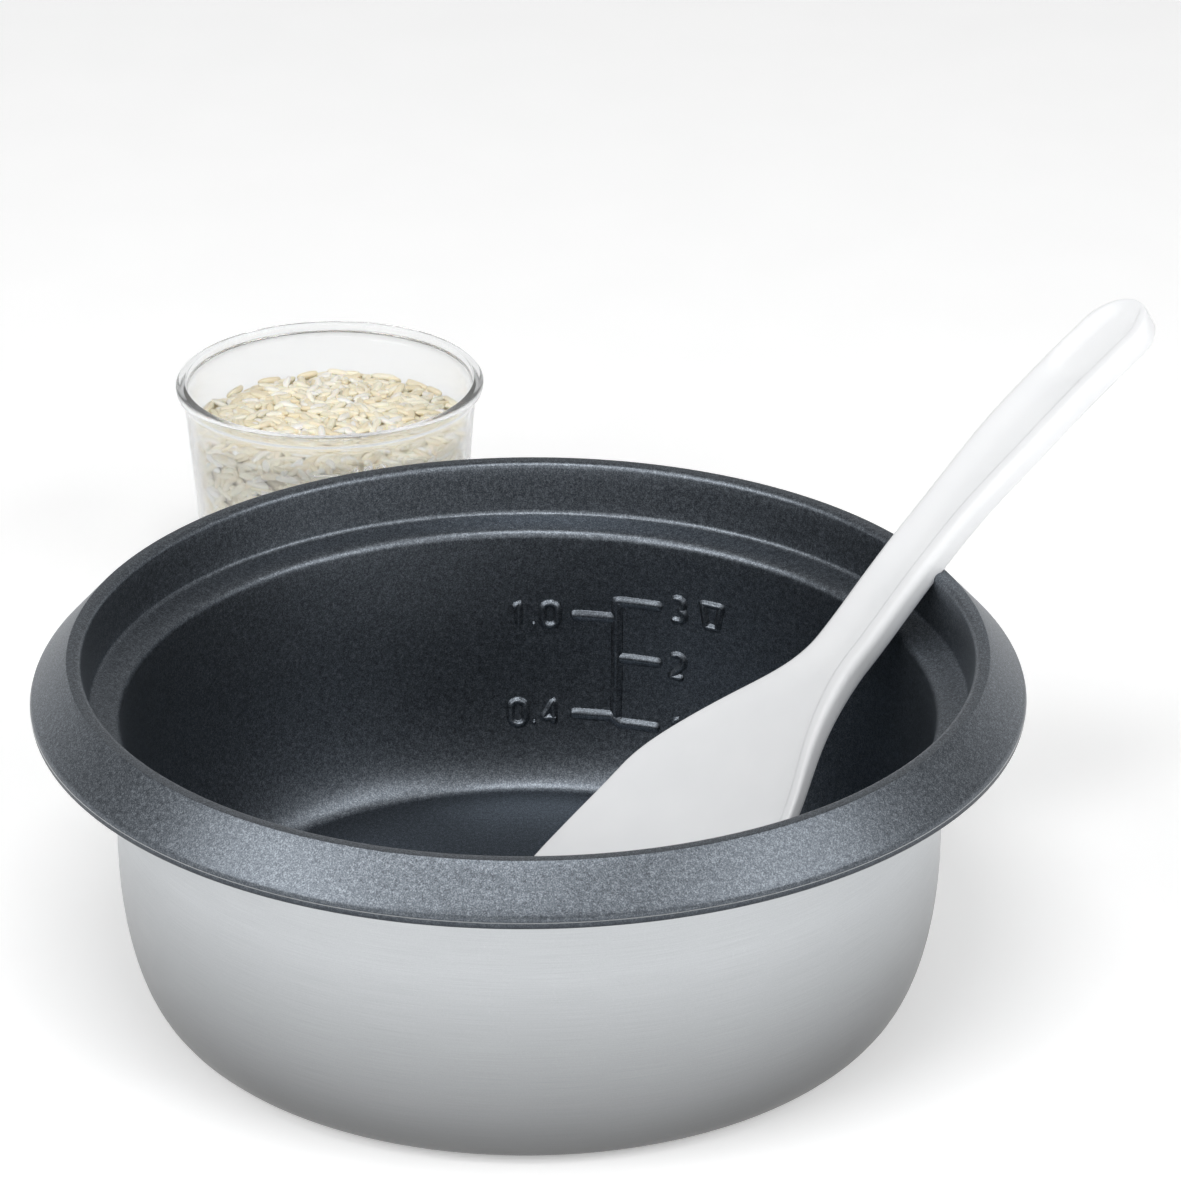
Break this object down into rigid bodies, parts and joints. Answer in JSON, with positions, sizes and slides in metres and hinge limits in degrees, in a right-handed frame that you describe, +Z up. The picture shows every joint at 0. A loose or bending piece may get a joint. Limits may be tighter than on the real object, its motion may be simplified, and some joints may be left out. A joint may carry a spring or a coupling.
{
  "type": "rice cooker inner pot",
  "caption": "Coated aluminium inner pot of a small rice cooker, with its serving paddle leaning in it and a clear measuring cup of rice beside it.",
  "frame": {"origin": "middle of the pot's flat base, on the surface that the pot and the cup stand on", "axes": "+Z up along the pot's axis; -Y towards the front of the usual view; the paddle's handle points to +X and a little to +Y; the level scale is on the +Y wall"},
  "size_m": [0.2496, 0.3429, 0.1301],
  "materials": {
    "pot_aluminium": "satin, finely brushed around the wall",
    "nonstick": "satin with a fine metallic speckle",
    "paddle_plastic": "smooth moulded, soft gloss",
    "cup_plastic": "clear moulded plastic",
    "rice": "dry polished long-grain rice"
  },
  "bodies": {
    "pot": {"pot_shell": "pot_aluminium", "nonstick_lining": "nonstick"},
    "paddle": {"paddle": "paddle_plastic"},
    "cup": {"measuring_cup": "cup_plastic", "rice_fill": "rice"}
  },
  "joints": [
    {"name": "paddle_lift", "type": "slide", "parent": "pot", "child": "paddle", "axis": [0.5858, 0.3492, 0.7314], "range_m": [0, 0.16]},
    {"name": "cup_lift", "type": "slide", "parent": "pot", "child": "cup", "axis": [0, 0, 1], "range_m": [0, 0.1]}
  ]
}
